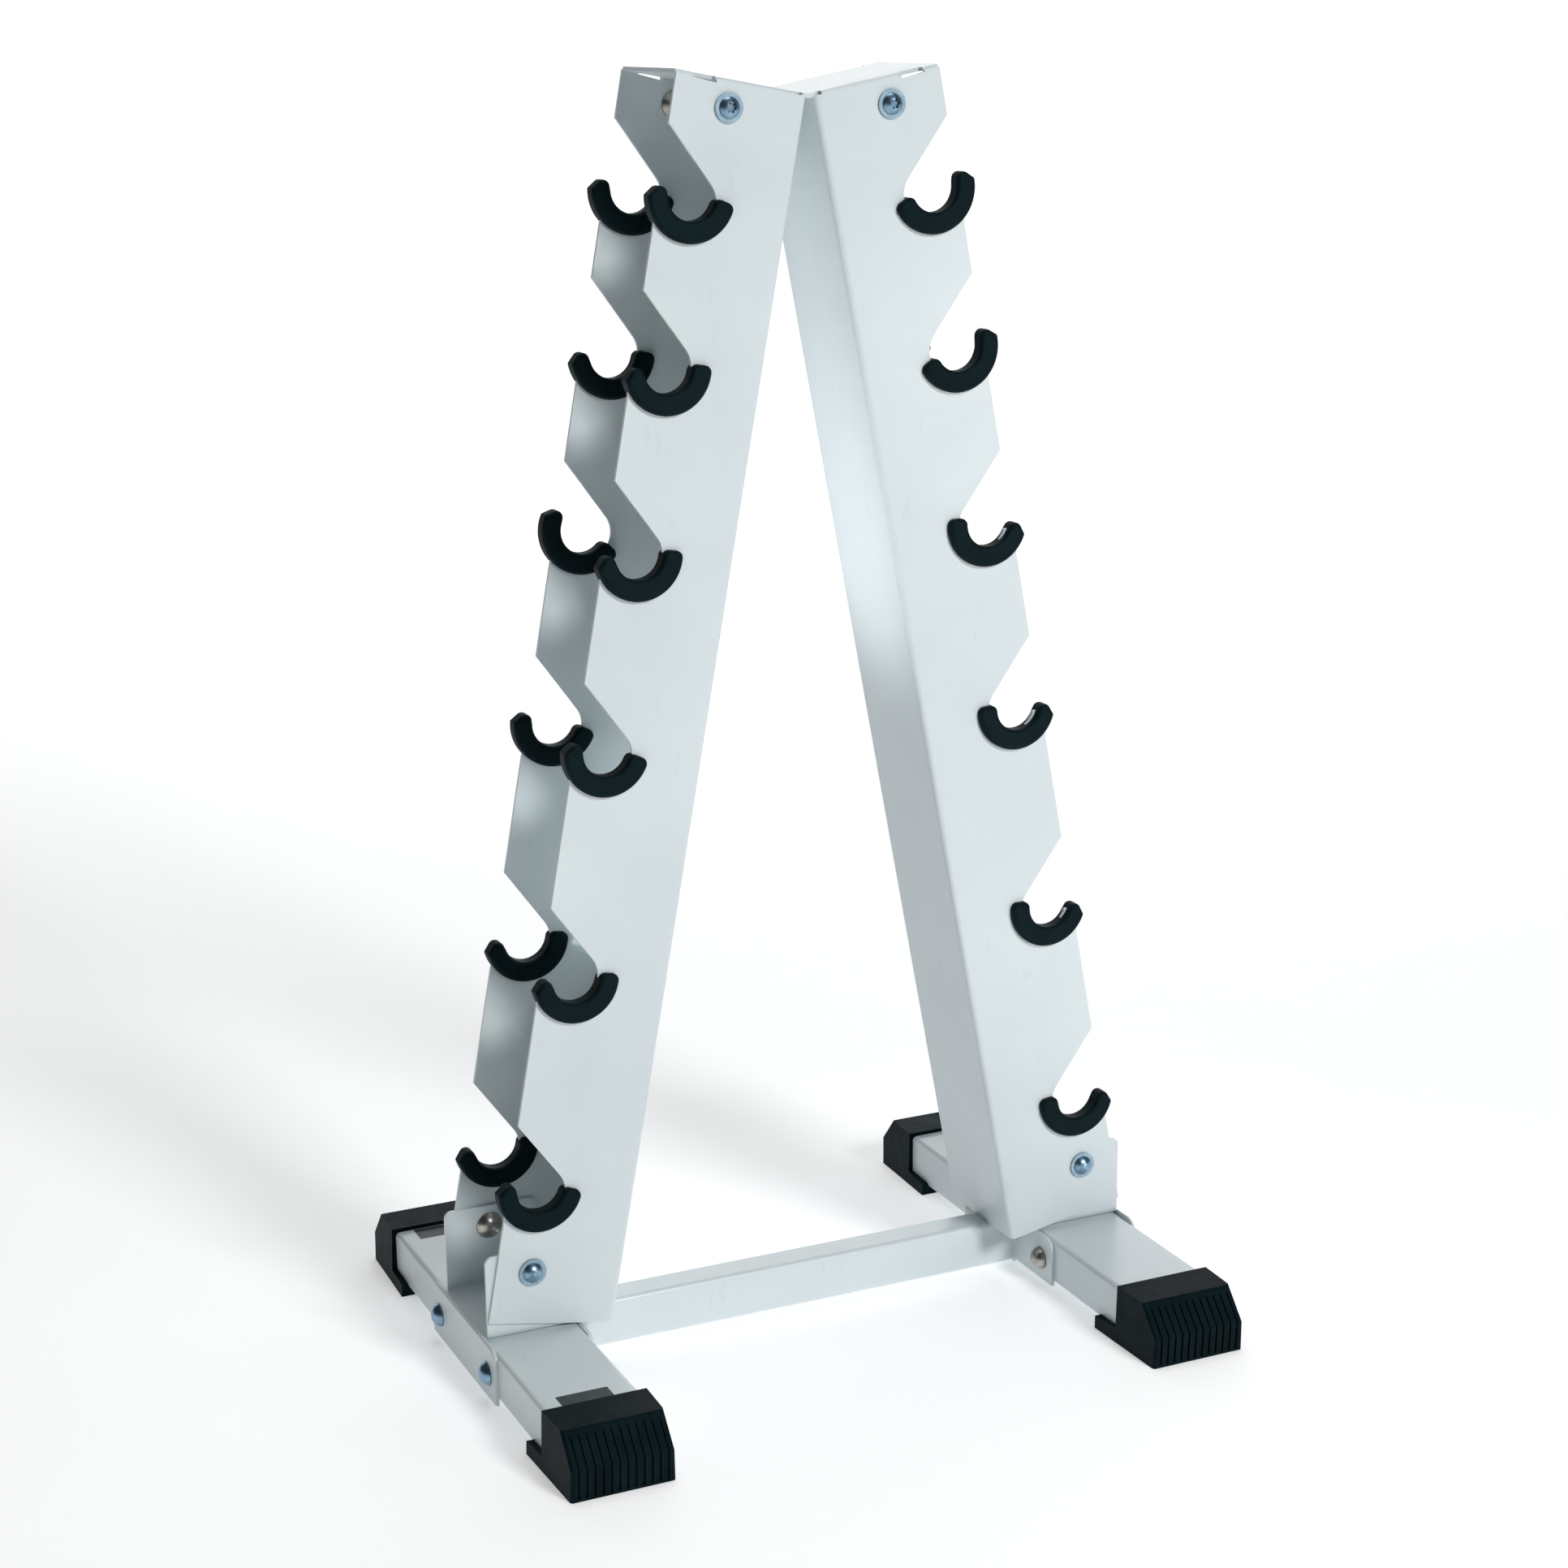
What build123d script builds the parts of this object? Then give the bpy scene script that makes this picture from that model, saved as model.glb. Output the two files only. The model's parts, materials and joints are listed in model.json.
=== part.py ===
from build123d import *
import math
import os

# Free-standing A-shaped rack for twelve dumbbells, six tiers a side. Millimetres, +Z up.
# The origin is on the floor at the centre of the footprint. X runs across the rack from the
# left upright (-X) to the right one (+X), -Y is the front. Dimensions below are the drivers.

# floor tubes, one under each upright, running front to back
TUBE_X = 256.0
TUBE_W = 80.0
TUBE_H = 40.0
TUBE_WALL = 2.5
TUBE_R = 4.0
TUBE_BOTTOM = 7.0
TUBE_HALF_LENGTH = 218.5

# rubber end caps: the shoulder is the cap's inner edge, all offsets run outward from it
CAP_SHOULDER_Y = 189.6
CAP_HALF_W = 45.1
CAP_TAPER_OUT = 0.035
CAP_TAPER_UP = 0.032
CAP_TOP = 50.6
CAP_TOP_DEPTH = 38.5
CAP_NOSE_DEPTH = 60.0
CAP_NOSE_Z = 26.0
CAP_TOE_DEPTH = 58.5
CAP_TONGUE = 31.0
CAP_TONGUE_Z = 11.0
CAP_CHEEK_Z = 12.5
CAP_EDGE_R = 2.6
RIB_PLAIN_BAND = 4.5
RIB_GROOVES = 12
RIB_PITCH = 6.65
RIB_GROOVE_W = 2.3
RIB_DEPTH = 1.7

# cross tube between the floor tubes, with a bolting plate welded on each end
CROSS_W = 30.0
CROSS_Z0 = 3.5
CROSS_H = 40.0
PLATE_T = 3.0
PLATE_HALF_L = 80.0
PLATE_Z0 = 5.0
PLATE_Z1 = 46.0
PLATE_CORNER_R = 12.0

# uprights: folded channels, web inward, flanges opening outward
LEAN = 10.65
SHEET = 3.0
UPRIGHT_X = 186.8
UPRIGHT_Z = 43.9
UPRIGHT_L = 994.2
CHANNEL_W = 111.1
CHANNEL_D = 109.4
CHANNEL_BEND_R = 4.5

# hooks: u runs up the channel from its lower end, v outward from the web
TIER_U = (905.5, 780.7, 635.2, 476.6, 296.0, 115.6)
NOTCH_DU = -4.4
NOTCH_V = 82.3
NOTCH_R = 21.5
HOOK_LIP_ANGLE = 26.0
HOOK_LIP_DROP = 13.5
ENTRY_RISE = 51.3

# saddle pads snapped over the notch edges
PAD_DU = -2.7
PAD_V = 83.0
PAD_R_IN = 19.5
PAD_R_OUT = 36.4
PAD_T = 15.5
PAD_EDGE_R = 3.6
PAD_FLARE_ANGLE = 27.0
PAD_BEAK = (32.9, -12.9)
PAD_TIP = (25.2, 3.0)
PAD_TIP_R = 5.6
PAD_BEAK_R = 1.6
PAD_ROOT_RISE = 5.9
PAD_ROOT_R = 5.6
# how far each pad has crept round its notch: degrees tip-up, then mm outward and mm up
PAD_CREEP = {
    "left_front": ((13, 0.5, 4), (-1, -1.5, -2), (-2, -1.5, -1), (15, 1, 2), (0, -2.5, -2), (11, 1, 3)),
    "left_rear": ((13, 4, 3), (1, 1, -2), (35, 3.5, 2), (17, 3.5, 2), (-3, 0, 0), (-4, -1, 1)),
    "right_front": ((21, 4, 2.5), (24, 2.5, 0), (-9, 4, -1), (-5, 3.5, -2), (-10, 3.5, -1), (-4, 0.5, -2)),
    "right_rear": ((-12, 0, -1), (-8, 0.5, -1), (-9, 1.5, -1), (-5, 1.5, -1), (-8, 1.5, -1), (-4, 0.5, -1)),
}

# top bracket: V-shaped plate between the flanges with four ears bent down
TOP_EAR_V = (8.0, 76.0)
TOP_EAR_DROP = 34.2
TOP_RELIEF_V = 96.0
TOP_RELIEF_DEPTH = 5.0
TOP_BEND_R = 2.8
TOP_RISE = 2.2
TOP_NOTCH = 2.8
TOP_BOLT_U = UPRIGHT_L - 19.1
TOP_BOLT_V = 63.2

# foot brackets: base on the floor tube, two ears up inside the flanges, one flap down outside
FOOT_T = 3.0
FOOT_EAR_X = 294.5
FOOT_EAR_TOP = 119.5
FOOT_BEND_R = 7.5
FOOT_EAR_R = 6.0
FLAP_Z0 = 3.5
FLAP_CORNER_R = 13.0
FOOT_BOLT_Z = 102.0

# fasteners
BOLT_R = 5.0
HOLE_R = 5.5
HEAD_R = 8.2
HEAD_H = 5.0
WASHER_R = 11.5
WASHER_T = 1.8
DOME_NUT_R = 11.0
DOME_NUT_H = 7.4
DOME_RIM_H = 1.6
BASE_NUT_R = 9.6
BASE_NUT_H = 9.0
CARRIAGE_R = 10.0
CARRIAGE_H = 7.4
SOCKET_R = 3.2
SOCKET_LOBE_R = 1.0
SOCKET_DEPTH = 2.6
BASE_BOLT_Y = 60.5
BASE_BOLT_Z = 24.0

# plain rating labels on the left floor tube
LABEL_SIZE = (43.0, 20.5, 0.25)
LABEL_X = -258.5
LABEL_Y = 177.8

TUBE_TOP = TUBE_BOTTOM + TUBE_H
INNER_FACE_X = TUBE_X - TUBE_W / 2
OUTER_FACE_X = TUBE_X + TUBE_W / 2
FLANGE_IN_Y = CHANNEL_W / 2 - SHEET
SIDES = {"left": -1, "right": 1}
ENDS = {"front": -1, "rear": 1}


def on_channel(shape):
    """Places a shape built in channel axes (x = v outward, z = u upward) on the right upright."""
    return Pos(UPRIGHT_X, 0, UPRIGHT_Z) * Rot(0, -LEAN, 0) * shape


def for_side(shape, side):
    """The right-hand shape itself, or its mirror image for the left."""
    return shape if side == "right" else mirror(shape, about=Plane.YZ)


def slab(x0, x1, y0, y1, z0, z1):
    size = (x1 - x0, y1 - y0, z1 - z0)
    return Pos((x0 + x1) / 2, (y0 + y1) / 2, (z0 + z1) / 2) * Box(*size)


def xz_prism(edges, y0, y1):
    """A closed outline in the XZ plane, extruded from y0 to y1."""
    face = make_face(edges)
    return extrude(face.moved(Location((0, y0, 0))), amount=y1 - y0, dir=(0, 1, 0))


def rod(start, direction, radius, length):
    """A round bar from a point along a direction."""
    return Plane(origin=start, z_dir=direction) * extrude(Circle(radius), amount=length)


def dome(start, direction, radius, height, rim):
    """A low dome on a short cylindrical rim."""
    ball_r = (radius**2 + (height - rim) ** 2) / (2 * (height - rim))
    base = extrude(Circle(radius), amount=height)
    cap = Pos(0, 0, height - ball_r) * Sphere(ball_r)
    return Plane(origin=start, z_dir=direction) * (base & cap)


def hollow_tube(width, height, wall, corner, y0, y1):
    """A square-cornered tube along Y, standing on z = 0."""
    outer = RectangleRounded(width, height, corner)
    inner = RectangleRounded(width - 2 * wall, height - 2 * wall, corner - wall / 2)
    section = Plane.XZ * (outer - inner)
    body = extrude(section, amount=y1 - y0, dir=(0, 1, 0))
    return Pos(0, y0, height / 2) * body


def polar(centre, radius, degrees):
    """Point (v, u) round a hook centre: 0 points outward, 90 down the channel, 180 inward."""
    a = math.radians(degrees)
    return (centre[0] + radius * math.cos(a), centre[1] - radius * math.sin(a))


def at(point):
    return (point[0], 0, point[1])


def hook_edges(tier_u, below):
    """One notch of the flange edge, from the outer edge below it to the vertex above it."""
    centre = (NOTCH_V, tier_u + NOTCH_DU)
    lip_out = (CHANNEL_D, tier_u - HOOK_LIP_DROP)
    vertex = (CHANNEL_D, tier_u + ENTRY_RISE)
    dv = vertex[0] - centre[0]
    du = vertex[1] - centre[1]
    reach = math.hypot(dv, du)
    tangent = 360 - math.degrees(math.atan2(du, dv) + math.acos(NOTCH_R / reach))
    lip_in = polar(centre, NOTCH_R, HOOK_LIP_ANGLE)
    middle = polar(centre, NOTCH_R, (HOOK_LIP_ANGLE + tangent) / 2)
    slope = polar(centre, NOTCH_R, tangent)
    edges = [
        Line(at(below), at(lip_out)),
        Line(at(lip_out), at(lip_in)),
        ThreePointArc(at(lip_in), at(middle), at(slope)),
        Line(at(slope), at(vertex)),
    ]
    return edges, vertex


def flange(y0, y1):
    """The saw-toothed flange outline with its six notches."""
    point = (CHANNEL_D, 0)
    edges = [Line(at((0, 0)), at(point))]
    for tier_u in reversed(TIER_U):
        more, point = hook_edges(tier_u, point)
        edges += more
    ear_end = TOP_EAR_V[1]
    crown = [
        point,
        (CHANNEL_D, UPRIGHT_L),
        (TOP_RELIEF_V, UPRIGHT_L),
        (TOP_RELIEF_V, UPRIGHT_L - TOP_NOTCH / 2),
        (ear_end, UPRIGHT_L - TOP_NOTCH),
        (ear_end, UPRIGHT_L),
        (0, UPRIGHT_L),
        (0, 0),
    ]
    edges += [Line(at(a), at(b)) for a, b in zip(crown, crown[1:])]
    return xz_prism(edges, y0, y1)


def foot_bolt_uv():
    """The foot bolt's place in channel axes, worked out from its place over the floor tube."""
    a = math.radians(LEAN)
    dx = TUBE_X - UPRIGHT_X
    dz = FOOT_BOLT_Z - UPRIGHT_Z
    return (dx * math.cos(a) + dz * math.sin(a), dz * math.cos(a) - dx * math.sin(a))


def make_channel():
    """One upright in channel axes, bolt holes included."""
    half = CHANNEL_W / 2
    body = flange(-half, -FLANGE_IN_Y) + flange(FLANGE_IN_Y, half)
    body += slab(0, SHEET, -half, half, 0, UPRIGHT_L + TOP_RISE - FOOT_T)
    corners = body.edges().filter_by(Axis.Z).filter_by(lambda e: e.center().X < 0.1)
    corners = corners.filter_by(lambda e: abs(abs(e.center().Y) - half) < 0.1)
    body = fillet(corners, CHANNEL_BEND_R)
    roots = body.edges().filter_by(Axis.Z).filter_by(lambda e: abs(e.center().X - SHEET) < 0.1)
    roots = roots.filter_by(lambda e: abs(abs(e.center().Y) - FLANGE_IN_Y) < 0.1)
    body = fillet(roots, CHANNEL_BEND_R - SHEET)
    foot_v, foot_u = foot_bolt_uv()
    for v, u in ((foot_v, foot_u), (TOP_BOLT_V, TOP_BOLT_U)):
        body -= rod((v, -half - 1, u), (0, 1, 0), HOLE_R, CHANNEL_W + 2)
    return body


def pad_blank():
    """The solid saddle, arc centre on the origin, before the sheet's slot is cut in it."""
    flare = polar((0, 0), PAD_R_IN, PAD_FLARE_ANGLE)
    arc_mid = polar((0, 0), PAD_R_IN, 90 + PAD_FLARE_ANGLE / 2)
    root_in = (-PAD_R_IN, 0)
    root_out = (-PAD_R_OUT, 0)
    end_rise = PAD_ROOT_RISE
    bottom = polar((0, 0), PAD_R_OUT, 100)
    outline = [
        ThreePointArc(at(flare), at(arc_mid), at(root_in)),
        Line(at(root_in), at((-PAD_R_IN, end_rise))),
        Line(at((-PAD_R_IN, end_rise)), at((-PAD_R_OUT, end_rise))),
        Line(at((-PAD_R_OUT, end_rise)), at(root_out)),
        ThreePointArc(at(root_out), at(bottom), at(PAD_BEAK)),
        Line(at(PAD_BEAK), at(PAD_TIP)),
        Line(at(PAD_TIP), at(flare)),
    ]
    body = xz_prism(outline, -PAD_T / 2, PAD_T / 2)
    along = body.edges().filter_by(Axis.Y)
    tip = along.filter_by(lambda e: abs(e.center().X - PAD_TIP[0]) < 0.1)
    body = fillet(tip, PAD_TIP_R)
    along = body.edges().filter_by(Axis.Y)
    ends = along.filter_by(lambda e: abs(e.center().Z - end_rise) < 0.1)
    body = fillet(ends, PAD_ROOT_R)
    along = body.edges().filter_by(Axis.Y)
    beak = along.filter_by(lambda e: abs(e.center().X - PAD_BEAK[0]) < 0.1)
    body = fillet(beak, PAD_BEAK_R)
    rims = body.edges().filter_by(lambda e: abs(abs(e.center().Y) - PAD_T / 2) < 0.05)
    return fillet(rims, PAD_EDGE_R)


def make_pads(channel):
    """All twenty-four saddle pads, each cut round the sheet that it is snapped over."""
    blank = pad_blank()
    middle_y = CHANNEL_W / 2 - SHEET / 2
    pads = {}
    for corner, creeps in PAD_CREEP.items():
        side, end = corner.split("_")
        for number, (tier_u, creep) in enumerate(zip(TIER_U, creeps), start=1):
            turn, outward, up = creep
            place = Pos(PAD_V + outward, ENDS[end] * middle_y, tier_u + PAD_DU + up)
            saddle = place * Rot(0, -turn, 0) * blank
            solid = on_channel(saddle - channel)
            pads[f"saddle_pad_{corner}_{number}"] = for_side(solid, side)
    return pads


def make_top_bracket():
    """The V plate: two arms mitred at the centre, ears bent down inside the flanges."""
    u1 = UPRIGHT_L + TOP_RISE
    u0 = u1 - FOOT_T
    ear0, ear1 = TOP_EAR_V
    arm = slab(-12, CHANNEL_D, -FLANGE_IN_Y, FLANGE_IN_Y, u0, u1)
    for s in ENDS.values():
        y0, y1 = sorted((s * FLANGE_IN_Y, s * (FLANGE_IN_Y - FOOT_T)))
        arm += slab(ear0, ear1, y0, y1, u1 - TOP_EAR_DROP, u1)
        y0, y1 = sorted((s * (FLANGE_IN_Y + 1), s * (FLANGE_IN_Y - TOP_RELIEF_DEPTH)))
        arm -= slab(ear1, TOP_RELIEF_V, y0, y1, u0 - 1, u1 + 1)
        arm -= slab(SHEET, ear0, y0, y1, u0 - 1, u1 + 1)
        arm -= rod((TOP_BOLT_V, s * 40, TOP_BOLT_U), (0, s, 0), HOLE_R, 30)
    ear_v = (ear0 + ear1) / 2
    bends = arm.edges().filter_by(Axis.X).filter_by(lambda e: abs(e.center().Z - u1) < 0.1)
    bends = bends.filter_by(lambda e: abs(e.center().X - ear_v) < 0.5)
    arm = on_channel(fillet(bends, TOP_BEND_R))
    arm &= slab(0, 400, -100, 100, 900, 1200)
    return arm + mirror(arm, about=Plane.YZ)


def make_foot_bracket():
    """Base, two ears and the outer flap, folded from one plate; right-hand side."""
    z0 = TUBE_TOP
    outer_x = OUTER_FACE_X + FOOT_T
    body = slab(INNER_FACE_X, outer_x, -FLANGE_IN_Y, FLANGE_IN_Y, z0, z0 + FOOT_T)
    for s in ENDS.values():
        y0, y1 = sorted((s * FLANGE_IN_Y, s * (FLANGE_IN_Y - FOOT_T)))
        ear = slab(INNER_FACE_X, FOOT_EAR_X, y0, y1, z0, FOOT_EAR_TOP)
        tips = ear.edges().filter_by(Axis.Y).filter_by(lambda e: e.center().Z > FOOT_EAR_TOP - 1)
        body += fillet(tips, FOOT_EAR_R)
    folds = body.edges().filter_by(Axis.X).filter_by(lambda e: abs(e.center().Z - z0) < 0.1)
    body = fillet(folds, FOOT_BEND_R)
    roots = body.edges().filter_by(Axis.X).filter_by(lambda e: abs(e.center().Z - z0 - FOOT_T) < 0.1)
    roots = roots.filter_by(lambda e: abs(e.center().Y) < FLANGE_IN_Y - FOOT_T + 0.1)
    body = fillet(roots, FOOT_BEND_R - FOOT_T)
    flap = slab(OUTER_FACE_X, outer_x, -PLATE_HALF_L, PLATE_HALF_L, FLAP_Z0, z0 + FOOT_T)
    tips = flap.edges().filter_by(Axis.X).filter_by(lambda e: e.center().Z > z0)
    body += fillet(tips, FLAP_CORNER_R)
    crease = body.edges().filter_by(Axis.Y).filter_by(lambda e: abs(e.center().X - outer_x) < 0.1)
    crease = crease.filter_by(lambda e: abs(e.center().Z - z0 - FOOT_T) < 0.1)
    body = fillet(crease, FOOT_T * 0.9)
    for s in ENDS.values():
        body -= rod((TUBE_X, s * 40, FOOT_BOLT_Z), (0, s, 0), HOLE_R, 30)
        body -= rod((OUTER_FACE_X - 1, s * BASE_BOLT_Y, BASE_BOLT_Z), (1, 0, 0), HOLE_R, 10)
    return body


def make_floor_tube():
    """Right floor tube with its two cross holes."""
    body = hollow_tube(TUBE_W, TUBE_H, TUBE_WALL, TUBE_R, -TUBE_HALF_LENGTH, TUBE_HALF_LENGTH)
    body = Pos(TUBE_X, 0, TUBE_BOTTOM) * body
    for s in ENDS.values():
        body -= rod((INNER_FACE_X - 1, s * BASE_BOLT_Y, BASE_BOLT_Z), (1, 0, 0), HOLE_R, TUBE_W + 2)
    return body


def yz_prism(points, x0, x1):
    face = make_face(Polyline([(0, y, z) for y, z in points], close=True))
    return extrude(face.moved(Location((x0, 0, 0))), amount=x1 - x0, dir=(1, 0, 0))


def groove_cutter():
    """What one groove takes away from the cap's front, seen from the side."""
    slope = math.hypot(CAP_NOSE_DEPTH - CAP_TOP_DEPTH, CAP_TOP - CAP_NOSE_Z)
    run = (CAP_NOSE_DEPTH - CAP_TOP_DEPTH) / slope
    fall = (CAP_TOP - CAP_NOSE_Z) / slope
    start = (CAP_TOP_DEPTH + run * RIB_PLAIN_BAND, CAP_TOP - fall * RIB_PLAIN_BAND)
    far = CAP_NOSE_DEPTH + 5
    deep = RIB_PLAIN_BAND + 1.5 * RIB_DEPTH
    return [
        start,
        (CAP_TOP_DEPTH + run * deep - fall * RIB_DEPTH, CAP_TOP - fall * deep - run * RIB_DEPTH),
        (CAP_NOSE_DEPTH - RIB_DEPTH, CAP_NOSE_Z - RIB_DEPTH * 0.3),
        (CAP_TOE_DEPTH - RIB_DEPTH, 2.0),
        (CAP_TOE_DEPTH + 1, 2.0),
        (far, CAP_NOSE_Z),
        (far, start[1]),
    ]


def make_cap():
    """Rear cap, its shoulder at y = 0 and centred on x = 0."""
    side = [
        (-CAP_TONGUE, 0),
        (CAP_TOE_DEPTH, 0),
        (CAP_NOSE_DEPTH, CAP_NOSE_Z),
        (CAP_TOP_DEPTH, CAP_TOP),
        (0, CAP_TOP),
        (0, CAP_CHEEK_Z),
        (-CAP_TONGUE, CAP_TONGUE_Z),
    ]
    wide = CAP_HALF_W + 5
    body = yz_prism(side, -wide, wide)
    for s in (-1, 1):
        lean = (s, CAP_TAPER_OUT, CAP_TAPER_UP)
        flank = Plane(origin=(s * CAP_HALF_W, 0, 0), z_dir=lean)
        body = split(body, bisect_by=flank, keep=Keep.BOTTOM)
    soft = body.edges().filter_by(lambda e: e.center().Y > CAP_TOP_DEPTH - 1 and e.center().Z > 3)
    body = fillet(soft, CAP_EDGE_R)
    first = -(RIB_GROOVES - 1) / 2 * RIB_PITCH
    for i in range(RIB_GROOVES):
        x = first + i * RIB_PITCH
        body -= yz_prism(groove_cutter(), x - RIB_GROOVE_W / 2, x + RIB_GROOVE_W / 2)
    socket_y = TUBE_HALF_LENGTH - CAP_SHOULDER_Y
    pocket = slab(-TUBE_W / 2, TUBE_W / 2, -CAP_TONGUE - 1, socket_y, TUBE_BOTTOM, TUBE_TOP)
    long_edges = pocket.edges().filter_by(Axis.Y)
    return body - fillet(long_edges, TUBE_R)


def make_end_plate():
    """Bolting plate on the right end of the cross tube."""
    x0 = INNER_FACE_X - PLATE_T
    plate = slab(x0, INNER_FACE_X, -PLATE_HALF_L, PLATE_HALF_L, PLATE_Z0, PLATE_Z1)
    tips = plate.edges().filter_by(Axis.X).filter_by(lambda e: e.center().Z > PLATE_Z1 - 1)
    plate = fillet(tips, PLATE_CORNER_R)
    for s in ENDS.values():
        plate -= rod((x0 - 1, s * BASE_BOLT_Y, BASE_BOLT_Z), (1, 0, 0), HOLE_R, PLATE_T + 2)
    return plate


def make_cross_tube():
    length = 2 * (INNER_FACE_X - PLATE_T)
    body = hollow_tube(CROSS_W, CROSS_H, TUBE_WALL, TUBE_R, -length / 2, length / 2)
    return Pos(0, 0, CROSS_Z0) * Rot(0, 0, 90) * body


def button_bolt(v, u, s, socket):
    """A bolt along Y through a flange and the ear behind it, in channel axes."""
    face = s * (CHANNEL_W / 2 + WASHER_T)
    grip = WASHER_T + SHEET + FOOT_T + DOME_NUT_H - 2
    head = dome((v, face, u), (0, s, 0), HEAD_R, HEAD_H, 0.8)
    if socket:
        head -= rod((v, face + s * (HEAD_H - SOCKET_DEPTH), u), (0, s, 0), SOCKET_R, HEAD_H)
        head -= star(v, face + s * (HEAD_H - SOCKET_DEPTH), u, s)
    return head + rod((v, face, u), (0, -s, 0), BOLT_R, grip)


def star(v, y, u, s):
    """Six lobes round a round socket."""
    lobes = []
    for i in range(6):
        a = math.radians(60 * i)
        centre = (v + SOCKET_R * math.cos(a), y, u + SOCKET_R * math.sin(a))
        lobes.append(rod(centre, (0, s, 0), SOCKET_LOBE_R, HEAD_H))
    return lobes[0].fuse(*lobes[1:])


def ring(start, direction, outer, inner, height):
    return rod(start, direction, outer, height) - rod(start, direction, inner, height)


def dome_nut(start, direction, radius, height):
    """A smooth domed cap nut, bored to take the bolt's end."""
    body = dome(start, direction, radius, height, DOME_RIM_H)
    return body - rod(start, direction, BOLT_R, height - 2)


def channel_fasteners():
    """Bolts, washers and dome nuts at both ends of the uprights."""
    foot_v, foot_u = foot_bolt_uv()
    half = CHANNEL_W / 2
    ear_y = FLANGE_IN_Y - FOOT_T
    groups = {}
    for name, v, u, socket in (
        ("top", TOP_BOLT_V, TOP_BOLT_U, True),
        ("foot", foot_v, foot_u, False),
    ):
        bolts = []
        washers = []
        nuts = []
        for side in SIDES:
            for s in ENDS.values():
                bolts.append(for_side(on_channel(button_bolt(v, u, s, socket)), side))
                disc = ring((v, s * half, u), (0, s, 0), WASHER_R, BOLT_R, WASHER_T)
                washers.append(for_side(on_channel(disc), side))
                nut = dome_nut((v, s * ear_y, u), (0, -s, 0), DOME_NUT_R, DOME_NUT_H)
                nuts.append(for_side(on_channel(nut), side))
        groups[f"{name}_bolts"] = Compound(children=bolts)
        groups[f"{name}_bolt_washers"] = Compound(children=washers)
        groups[f"{name}_dome_nuts"] = Compound(children=nuts)
    return groups


def base_fasteners():
    """Carriage bolts through flap, floor tube and end plate, with dome nuts inside."""
    bolts = []
    nuts = []
    head_x = OUTER_FACE_X + FOOT_T
    nut_x = INNER_FACE_X - PLATE_T
    for side in SIDES:
        for s in ENDS.values():
            y = s * BASE_BOLT_Y
            head = dome((head_x, y, BASE_BOLT_Z), (1, 0, 0), CARRIAGE_R, CARRIAGE_H, 0.8)
            length = head_x - nut_x + BASE_NUT_H - 2
            bolt = head + rod((head_x, y, BASE_BOLT_Z), (-1, 0, 0), BOLT_R, length)
            bolts.append(for_side(bolt, side))
            nut = dome_nut((nut_x, y, BASE_BOLT_Z), (-1, 0, 0), BASE_NUT_R, BASE_NUT_H)
            nuts.append(for_side(nut, side))
    return {
        "base_carriage_bolts": Compound(children=bolts),
        "base_dome_nuts": Compound(children=nuts),
    }


def make_label(end):
    w, d, t = LABEL_SIZE
    return Pos(LABEL_X, ENDS[end] * LABEL_Y, TUBE_TOP + t / 2) * Box(w, d, t)


def build():
    nodes = {}
    channel = make_channel()
    upright = on_channel(channel)
    foot = make_foot_bracket()
    tube = make_floor_tube()
    plate = make_end_plate()
    cap = make_cap()
    for side, s in SIDES.items():
        nodes[f"upright_{side}"] = for_side(upright, side)
        nodes[f"foot_bracket_{side}"] = for_side(foot, side)
        nodes[f"floor_tube_{side}"] = for_side(tube, side)
        nodes[f"cross_tube_end_plate_{side}"] = for_side(plate, side)
        for end, e in ENDS.items():
            turned = cap if e > 0 else Rot(0, 0, 180) * cap
            nodes[f"end_cap_{end}_{side}"] = Pos(s * TUBE_X, e * CAP_SHOULDER_Y, 0) * turned
    nodes["cross_tube"] = make_cross_tube()
    nodes["top_bracket"] = make_top_bracket()
    nodes.update(make_pads(channel))
    nodes.update(channel_fasteners())
    nodes.update(base_fasteners())
    for end in ENDS:
        nodes[f"blank_label_{end}"] = make_label(end)
    return nodes


os.makedirs("parts", exist_ok=True)
for name, shape in build().items():
    export_step(shape, f"parts/{name}.step")
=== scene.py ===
import json
import math
import bpy
from mathutils import Matrix, Vector

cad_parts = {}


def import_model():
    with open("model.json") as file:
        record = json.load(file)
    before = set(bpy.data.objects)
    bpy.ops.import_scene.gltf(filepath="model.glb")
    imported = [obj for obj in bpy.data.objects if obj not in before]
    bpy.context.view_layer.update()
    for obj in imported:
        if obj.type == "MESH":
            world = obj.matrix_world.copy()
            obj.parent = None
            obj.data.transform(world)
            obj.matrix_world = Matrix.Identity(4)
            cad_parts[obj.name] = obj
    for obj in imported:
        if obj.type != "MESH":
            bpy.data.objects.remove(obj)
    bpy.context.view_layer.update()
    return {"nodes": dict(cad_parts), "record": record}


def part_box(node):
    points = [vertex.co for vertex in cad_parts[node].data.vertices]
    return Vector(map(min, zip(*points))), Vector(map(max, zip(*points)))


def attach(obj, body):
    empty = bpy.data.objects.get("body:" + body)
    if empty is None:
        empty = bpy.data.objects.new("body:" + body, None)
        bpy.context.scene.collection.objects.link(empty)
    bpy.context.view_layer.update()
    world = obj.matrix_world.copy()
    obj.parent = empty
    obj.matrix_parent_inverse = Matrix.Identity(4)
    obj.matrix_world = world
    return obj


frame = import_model()
nodes = frame["nodes"]

MM = 0.001

# camera, solved from the rack's own straight edges: metres and degrees
CAMERA_AT = Vector((-0.9739, -2.1110, 1.0861))
CAMERA_YAW = 24.707
CAMERA_PITCH = -14.942
CAMERA_ROLL = -0.558
CAMERA_LENS = 66.77
CAMERA_SENSOR = 36.0

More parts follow.
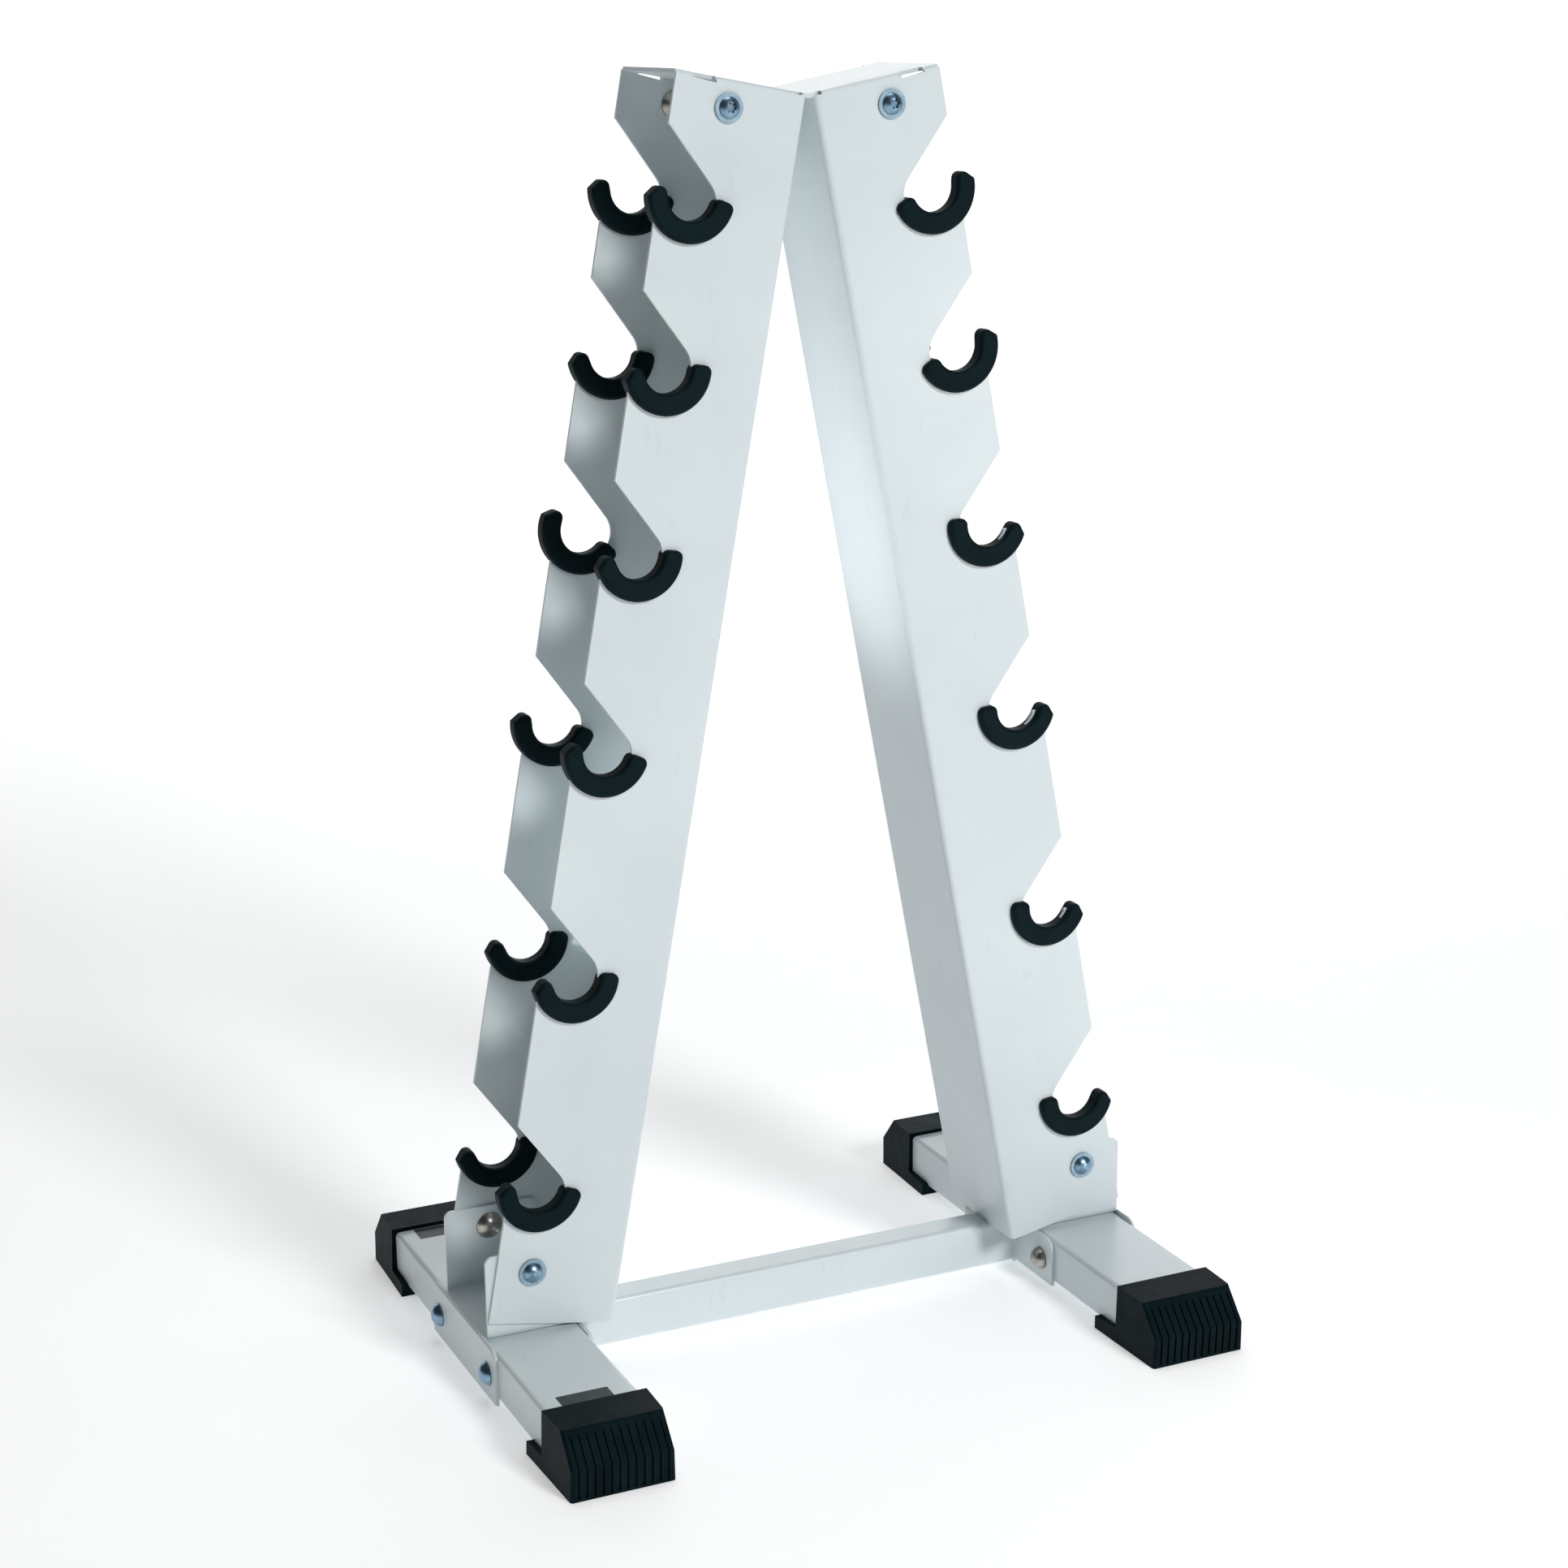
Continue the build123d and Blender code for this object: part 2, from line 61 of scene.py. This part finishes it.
# weld beads round the ends of the cross tube
WELD_SIZE = 2.3 * MM
WELD_RIPPLE = 0.35 * MM
WELD_PITCH = 2.6 * MM
WELD_SPACING = 0.6 * MM
WELD_SINK = 0.1 * MM
WELD_SIDES = 8
TUBE_CORNER = 4 * MM
CORNER_STEPS = 6

# studio floor and backdrop: metres, with Y along the camera's heading
FLOOR_WIDTH = 14.0
FLOOR_NEAR = -7.0
FLOOR_FAR = 7.0
BACKDROP_TOP = 6.0
BACKDROP_BEND = 2.5
BEND_STEPS = 16

# glow of the floor and backdrop: where it starts and ends along Y, and its strengths there
GLOW_STARTS = 0.6
GLOW_ENDS = 4.5
GLOW_NEAR = 0.36
GLOW_FAR = 0.74

RACK_MIDDLE = (0.0, 0.0, 0.5)
WORLD_COLOUR = (0.82, 0.95, 1.0, 1.0)
WORLD_STRENGTH = 0.04
WHITE = (1.0, 1.0, 1.0, 1.0)
COOL_SHEEN = (0.45, 0.85, 1.0, 1.0)

# sockets of Blender's Mix node when it mixes colours
MIX_FACTOR = 0
MIX_FIRST = 6
MIX_SECOND = 7
MIX_RESULT = 2


def rgb(red, green, blue):
    """A display colour from 0 to 255, as the linear colour that a shader takes."""
    def linear(value):
        value /= 255
        return value / 12.92 if value <= 0.04045 else ((value + 0.055) / 1.055) ** 2.4
    return (linear(red), linear(green), linear(blue), 1.0)


class Nodes:
    """Short calls for building one material's node tree."""

    def __init__(self, name):
        self.material = bpy.data.materials.new(name)
        self.material.use_nodes = True
        self.tree = self.material.node_tree
        self.shader = self.tree.nodes["Principled BSDF"]
        coords = self.add("ShaderNodeTexCoord")
        self.place = coords.outputs["Object"]

    def add(self, kind, **settings):
        node = self.tree.nodes.new(kind)
        for key, value in settings.items():
            setattr(node, key, value)
        return node

    def link(self, source, target):
        self.tree.links.new(source, target)

    def noise(self, scale, detail, roughness=0.5, stretch=None):
        """Cloudy noise from about 0 to 1, stretched along an axis where a scale is given."""
        node = self.add("ShaderNodeTexNoise")
        node.inputs["Scale"].default_value = scale
        node.inputs["Detail"].default_value = detail
        node.inputs["Roughness"].default_value = roughness
        source = self.place
        if stretch:
            mapping = self.add("ShaderNodeMapping")
            mapping.inputs["Scale"].default_value = stretch
            self.link(self.place, mapping.inputs["Vector"])
            source = mapping.outputs["Vector"]
        self.link(source, node.inputs["Vector"])
        return node.outputs["Fac"]

    def scale_range(self, source, low, high, from_low=0.0, from_high=1.0):
        """The source, moved from its own range to low and high, and held between them."""
        node = self.add("ShaderNodeMapRange")
        node.inputs["From Min"].default_value = from_low
        node.inputs["From Max"].default_value = from_high
        node.inputs["To Min"].default_value = low
        node.inputs["To Max"].default_value = high
        self.link(source, node.inputs["Value"])
        return node.outputs["Result"]

    def multiply(self, first, second):
        node = self.add("ShaderNodeMath", operation="MULTIPLY")
        for socket, value in zip(node.inputs, (first, second)):
            if isinstance(value, (int, float)):
                socket.default_value = value
            else:
                self.link(value, socket)
        return node.outputs["Value"]

    def mix(self, factor, first, second):
        node = self.add("ShaderNodeMix", data_type="RGBA")
        for socket, value in ((MIX_FACTOR, factor), (MIX_FIRST, first), (MIX_SECOND, second)):
            if isinstance(value, (int, float, tuple)):
                node.inputs[socket].default_value = value
            else:
                self.link(value, node.inputs[socket])
        return node.outputs[MIX_RESULT]

    def edges(self, radius, low=0.02, high=0.25):
        """A mask that is 1 along sharp edges, fading out over the radius in metres."""
        bevel = self.add("ShaderNodeBevel", samples=6)
        bevel.inputs["Radius"].default_value = radius
        plain = self.add("ShaderNodeNewGeometry")
        dot = self.add("ShaderNodeVectorMath", operation="DOT_PRODUCT")
        self.link(bevel.outputs["Normal"], dot.inputs[0])
        self.link(plain.outputs["Normal"], dot.inputs[1])
        return self.scale_range(dot.outputs["Value"], 1.0, 0.0, 1 - high, 1 - low)

    def bump(self, height, distance, strength, normal=None):
        node = self.add("ShaderNodeBump")
        node.inputs["Strength"].default_value = strength
        node.inputs["Distance"].default_value = distance
        self.link(height, node.inputs["Height"])
        if normal is not None:
            self.link(normal, node.inputs["Normal"])
        return node.outputs["Normal"]

    def finish(self, colour, roughness, normal, **constants):
        """Join the parts to the shader, and set its plain sockets from the named constants."""
        self.link(colour, self.shader.inputs["Base Color"])
        self.link(roughness, self.shader.inputs["Roughness"])
        self.link(normal, self.shader.inputs["Normal"])
        for name, value in constants.items():
            self.shader.inputs[name.replace("_", " ")].default_value = value
        return self.material


def powder_coat(name, base, shade):
    """White powder coat: orange peel, a cloudy tone, faint scuffs, and a painted highlight that makes
    edges a little brighter.
    """
    m = Nodes(name)
    cloud = m.noise(scale=5, detail=4, roughness=0.55)
    colour = m.mix(m.scale_range(cloud, low=0, high=1, from_low=0.35, from_high=0.68), base, shade)
    scuffs = m.noise(scale=60, detail=5, roughness=0.65, stretch=(1.0, 1.0, 0.25))
    marks = m.scale_range(scuffs, low=0, high=0.35, from_low=0.64, from_high=0.80)
    colour = m.mix(marks, colour, rgb(176, 184, 190))
    # painted highlight: sharp edges lightened towards near-white in cloudy patches
    coat_edge_highlight = m.edges(radius=0.9 * MM)
    cloudy = m.noise(scale=45, detail=3)
    highlight_patch = m.scale_range(cloudy, low=0.08, high=0.35, from_low=0.35, from_high=0.65)
    colour = m.mix(m.multiply(coat_edge_highlight, highlight_patch), colour, rgb(236, 242, 245))
    roughness = m.scale_range(m.noise(scale=28, detail=4), low=0.30, high=0.44)
    peel = m.noise(scale=1400, detail=2, roughness=0.4)
    normal = m.bump(peel, distance=0.06 * MM, strength=0.35)
    return m.finish(colour, roughness, normal, Coat_Weight=0.25, Coat_Roughness=0.18, IOR=1.5)


def moulded_rubber(name, base, dusty, grain, roughness, shine):
    """Matt black moulded rubber with a fine grain, dust, and edges painted lighter as a highlight."""
    m = Nodes(name)
    drift = m.noise(scale=32, detail=5, roughness=0.6)
    dust = m.scale_range(drift, low=0, high=1, from_low=0.42, from_high=0.75)
    colour = m.mix(dust, base, dusty)
    grit = m.noise(scale=900, detail=2, roughness=0.5)
    specks = m.scale_range(grit, low=0, high=0.5, from_low=0.66, from_high=0.78)
    colour = m.mix(specks, colour, rgb(40, 54, 58))
    # painted highlight: sharp edges lightened towards a blue-grey
    edge_highlight = m.edges(radius=1.0 * MM, low=0.03, high=0.35)
    colour = m.mix(m.multiply(edge_highlight, 0.45), colour, rgb(34, 50, 56))
    spread = 0.08
    rough = m.scale_range(m.noise(scale=60, detail=4), roughness - spread, roughness + spread)
    fine = m.noise(scale=grain, detail=3, roughness=0.6)
    broad = m.noise(scale=90, detail=3)
    normal = m.bump(broad, distance=0.35 * MM, strength=0.25)
    normal = m.bump(fine, distance=0.12 * MM, strength=0.6, normal=normal)
    return m.finish(colour, rough, normal, Specular_IOR_Level=shine, Specular_Tint=COOL_SHEEN)


def zinc_plate(name, base, tarnish, shine):
    """Bright zinc plate with a cloudy tint, fine grain and painted shade that darkens its crevices."""
    m = Nodes(name)
    cloud = m.noise(scale=180, detail=4, roughness=0.6)
    tint = m.scale_range(cloud, low=0, high=1, from_low=0.35, from_high=0.72)
    colour = m.mix(tint, base, tarnish)
    # painted shade: ambient occlusion darkens creases and contacts towards near-black
    painted_crevice_shade = m.add("ShaderNodeAmbientOcclusion", samples=8)
    painted_crevice_shade.inputs["Distance"].default_value = 4 * MM
    shade = m.scale_range(painted_crevice_shade.outputs["AO"], low=0.15, high=1.0, from_low=0.25, from_high=0.85)
    colour = m.mix(shade, rgb(16, 28, 36), colour)
    low, high = shine
    rough = m.scale_range(m.noise(scale=420, detail=4, roughness=0.6), low, high)
    normal = m.bump(m.noise(scale=700, detail=3), distance=0.05 * MM, strength=0.5)
    return m.finish(colour, rough, normal, Metallic=1.0)


def label_film(name):
    """Plain dark film with nothing on it, faintly mottled."""
    m = Nodes(name)
    mottle = m.noise(scale=300, detail=3)
    colour = m.mix(mottle, rgb(8, 22, 28), rgb(20, 36, 43))
    rough = m.scale_range(m.noise(scale=200, detail=3), low=0.38, high=0.52)
    normal = m.bump(m.noise(scale=500, detail=2), distance=0.03 * MM, strength=0.4)
    return m.finish(colour, rough, normal)


materials = {
    "white_powder_coat": powder_coat(
        "white powder coat", base=rgb(219, 229, 231), shade=rgb(210, 220, 224)),
    "cap_rubber": moulded_rubber(
        "cap rubber", base=rgb(0, 9, 12), dusty=rgb(6, 24, 30), grain=1500, roughness=0.60, shine=0.12),
    "saddle_rubber": moulded_rubber(
        "saddle rubber", base=rgb(0, 8, 10), dusty=rgb(4, 19, 22), grain=1800, roughness=0.62, shine=0.20),
    "zinc_bolt": zinc_plate(
        "zinc bolt", base=rgb(148, 178, 200), tarnish=rgb(116, 148, 174), shine=(0.28, 0.38)),
    "zinc_washer": zinc_plate(
        "zinc washer", base=rgb(168, 192, 206), tarnish=rgb(142, 168, 186), shine=(0.34, 0.46)),
    "zinc_nut": zinc_plate(
        "zinc nut", base=rgb(184, 182, 176), tarnish=rgb(152, 148, 140), shine=(0.26, 0.36)),
    "label_film": label_film("label film"),
}

slot_of = {part["node"]: part["material_slot"] for part in frame["record"]["subparts"]}
for node_name, node in nodes.items():
    for slot in node.material_slots:
        slot.material = materials[slot_of[node_name]]


def link_piece(name, mesh, slot_name):
    """A new mesh piece in the row frame, riding on the rack's one body."""
    piece = bpy.data.objects.new(name, mesh)
    bpy.context.collection.objects.link(piece)
    mesh.materials.append(materials[slot_name])
    for polygon in mesh.polygons:
        polygon.use_smooth = True
    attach(piece, "root")


def rounded_loop(low, high, corner, spacing):
    """Even points and outward directions round a rounded rectangle in the YZ plane."""
    y0, y1 = low.y + corner, high.y - corner
    z0, z1 = low.z + corner, high.z - corner
    turns = []
    for quarter, (y, z) in enumerate(((y1, z1), (y0, z1), (y0, z0), (y1, z0))):
        for step in range(CORNER_STEPS + 1):
            angle = math.radians(90 * quarter + 90 * step / CORNER_STEPS)
            out = Vector((0.0, math.cos(angle), math.sin(angle)))
            turns.append((Vector((0.0, y, z)) + out * corner, out))
    loop = []
    for (start, out_a), (end, out_b) in zip(turns, turns[1:] + turns[:1]):
        count = max(1, round((end - start).length / spacing))
        for i in range(count):
            t = i / count
            loop.append((start.lerp(end, t), out_a.lerp(out_b, t).normalized()))
    return loop


def weld_bead(name, plate_x, sign, loop):
    """A hollow fillet with a fine ripple, round the tube where it meets a plate."""
    verts = []
    for index, (point, out) in enumerate(loop):
        wave = math.sin(2 * math.pi * index * WELD_SPACING / WELD_PITCH)
        size = WELD_SIZE + WELD_RIPPLE * wave
        for k in range(WELD_SIDES + 1):
            angle = math.radians(90 * k / WELD_SIDES)
            place = point + out * (size * (1 - math.cos(angle)) - WELD_SINK)
            verts.append((plate_x - sign * size * (1 - math.sin(angle)), place.y, place.z))
    row = WELD_SIDES + 1
    faces = []
    for i in range(len(loop)):
        j = (i + 1) % len(loop)
        for k in range(WELD_SIDES):
            quad = (i * row + k, j * row + k, j * row + k + 1, i * row + k + 1)
            faces.append(quad if sign > 0 else quad[::-1])
    mesh = bpy.data.meshes.new(name)
    mesh.from_pydata(verts, [], faces)
    link_piece(name, mesh, "white_powder_coat")


def weld_beads():
    """One bead at each end of the cross tube."""
    low, high = (Vector(corner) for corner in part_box("cross_tube"))
    loop = rounded_loop(low, high, TUBE_CORNER, WELD_SPACING)
    weld_bead("weld_bead_left", low.x, -1, loop)
    weld_bead("weld_bead_right", high.x, 1, loop)


def studio_surface():
    """Matt white paper, lit from inside more and more with distance behind the rack."""
    m = Nodes("studio paper")
    tone = m.mix(m.noise(scale=3, detail=2), rgb(250, 250, 251), rgb(247, 248, 249))
    rough = m.scale_range(m.noise(scale=8, detail=2), low=0.7, high=0.8)
    normal = m.bump(m.noise(scale=90, detail=2), distance=0.1 * MM, strength=0.1)
    axes = m.add("ShaderNodeSeparateXYZ")
    m.link(m.place, axes.inputs["Vector"])
    glow = m.scale_range(axes.outputs["Y"], GLOW_NEAR, GLOW_FAR, GLOW_STARTS, GLOW_ENDS)
    m.link(glow, m.shader.inputs["Emission Strength"])
    return m.finish(tone, rough, normal, Specular_IOR_Level=0.2, Emission_Color=WHITE)


def stage():
    """A pale floor that runs far behind the rack and turns up into a backdrop."""
    bend_starts = FLOOR_FAR - BACKDROP_BEND
    profile = [(FLOOR_NEAR, 0.0), (bend_starts, 0.0)]
    for step in range(1, BEND_STEPS + 1):
        angle = math.radians(90 * step / BEND_STEPS)
        y = bend_starts + BACKDROP_BEND * math.sin(angle)
        z = BACKDROP_BEND - BACKDROP_BEND * math.cos(angle)
        profile.append((y, z))
    profile.append((FLOOR_FAR, BACKDROP_TOP))
    verts = [(side * FLOOR_WIDTH / 2, y, z) for y, z in profile for side in (-1, 1)]
    faces = [(2 * i, 2 * i + 1, 2 * i + 3, 2 * i + 2) for i in range(len(profile) - 1)]
    mesh = bpy.data.meshes.new("studio floor")
    mesh.from_pydata(verts, [], faces)
    floor = bpy.data.objects.new("studio_floor", mesh)
    bpy.context.collection.objects.link(floor)
    floor.rotation_euler.z = -math.radians(CAMERA_YAW)
    mesh.materials.append(studio_surface())
    for polygon in mesh.polygons:
        polygon.use_smooth = True


def area_light(name, at, target, size, watts, spread=180.0):
    """A soft box that lights the scene but isn't seen itself."""
    lamp = bpy.data.lights.new(name, "AREA")
    lamp.shape = "RECTANGLE"
    lamp.size, lamp.size_y = size
    lamp.energy = watts
    lamp.spread = math.radians(spread)
    holder = bpy.data.objects.new(name, lamp)
    bpy.context.collection.objects.link(holder)
    holder.location = at
    holder.visible_camera = False
    direction = Vector(target) - Vector(at)
    holder.rotation_euler = direction.to_track_quat("-Z", "Y").to_euler()


def lights():
    """A key from the front right, a small lamp between the uprights, and low, top and back fills."""
    area_light("key", at=(1.15, -4.2, 3.0), target=RACK_MIDDLE, size=(1.1, 1.1), watts=132)
    web = (0.045, 0.0, 0.80)
    area_light("inner", at=(-0.13, 0.01, 0.32), target=web, size=(0.10, 0.10), watts=0.22, spread=44)
    foot = (0.27, 0.0, 0.2)
    area_light("low", at=(1.6, -2.6, 0.5), target=foot, size=(0.5, 0.5), watts=0.5, spread=40)
    area_light("top", at=(0.1, 0.6, 4.4), target=RACK_MIDDLE, size=(2.4, 2.4), watts=50)
    area_light("back", at=(1.8, 3.6, 1.8), target=RACK_MIDDLE, size=(2.4, 1.6), watts=8)


def world():
    """A faint cool light from all round, and plain display colours."""
    surroundings = bpy.data.worlds.new("studio")
    surroundings.use_nodes = True
    background = surroundings.node_tree.nodes["Background"]
    background.inputs["Color"].default_value = WORLD_COLOUR
    background.inputs["Strength"].default_value = WORLD_STRENGTH
    bpy.context.scene.world = surroundings
    bpy.context.scene.view_settings.view_transform = "Standard"
    bpy.context.scene.view_settings.look = "None"


def camera():
    """The camera, turned, tilted and rolled in that order."""
    data = bpy.data.cameras.new("camera")
    data.lens = CAMERA_LENS
    data.sensor_width = CAMERA_SENSOR
    holder = bpy.data.objects.new("camera", data)
    bpy.context.collection.objects.link(holder)
    turn = Matrix.Rotation(-math.radians(CAMERA_YAW), 4, "Z")
    tilt = Matrix.Rotation(math.radians(90 + CAMERA_PITCH), 4, "X")
    roll = Matrix.Rotation(math.radians(CAMERA_ROLL), 4, "Z")
    holder.matrix_world = Matrix.Translation(CAMERA_AT) @ turn @ tilt @ roll
    bpy.context.scene.camera = holder


weld_beads()
stage()
lights()
world()
camera()
